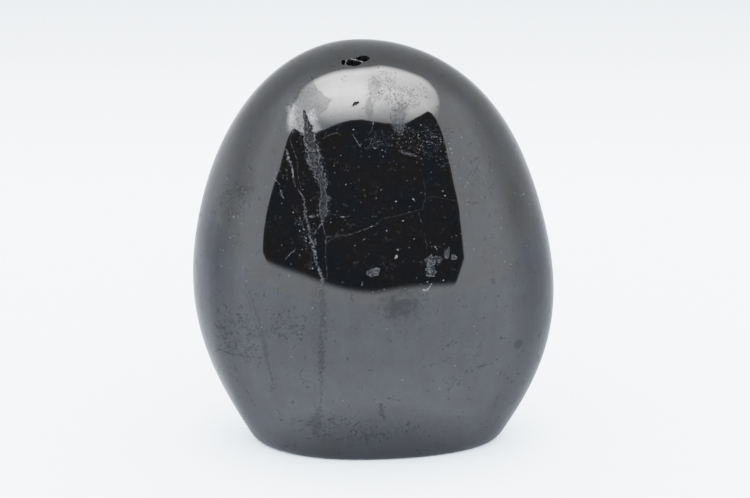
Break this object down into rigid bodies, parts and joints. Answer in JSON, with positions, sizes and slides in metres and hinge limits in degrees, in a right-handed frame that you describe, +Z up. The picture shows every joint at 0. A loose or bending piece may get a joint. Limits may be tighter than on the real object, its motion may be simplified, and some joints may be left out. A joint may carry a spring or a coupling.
{
  "type": "polished black tourmaline",
  "caption": "Polished black tourmaline stone: an upright egg-shaped dome, a little flattened front to back, standing on a flat sawn base, with natural pits and healed cracks.",
  "frame": {"origin": "on the plane that the stone stands on, under the middle of its box", "axes": "+Z up from the sawn base to the crown; +X to the right seen from the front; -Y out of the front face, so +Y runs through the stone's thin direction"},
  "size_m": [0.0784, 0.0476, 0.0878],
  "materials": {
    "polished_tourmaline": "black, polished to a mirror gloss, with pale grey healed cracks, pits and chips that broke the polish"
  },
  "bodies": {
    "root": {"tourmaline_stone": "polished_tourmaline"}
  },
  "joints": []
}
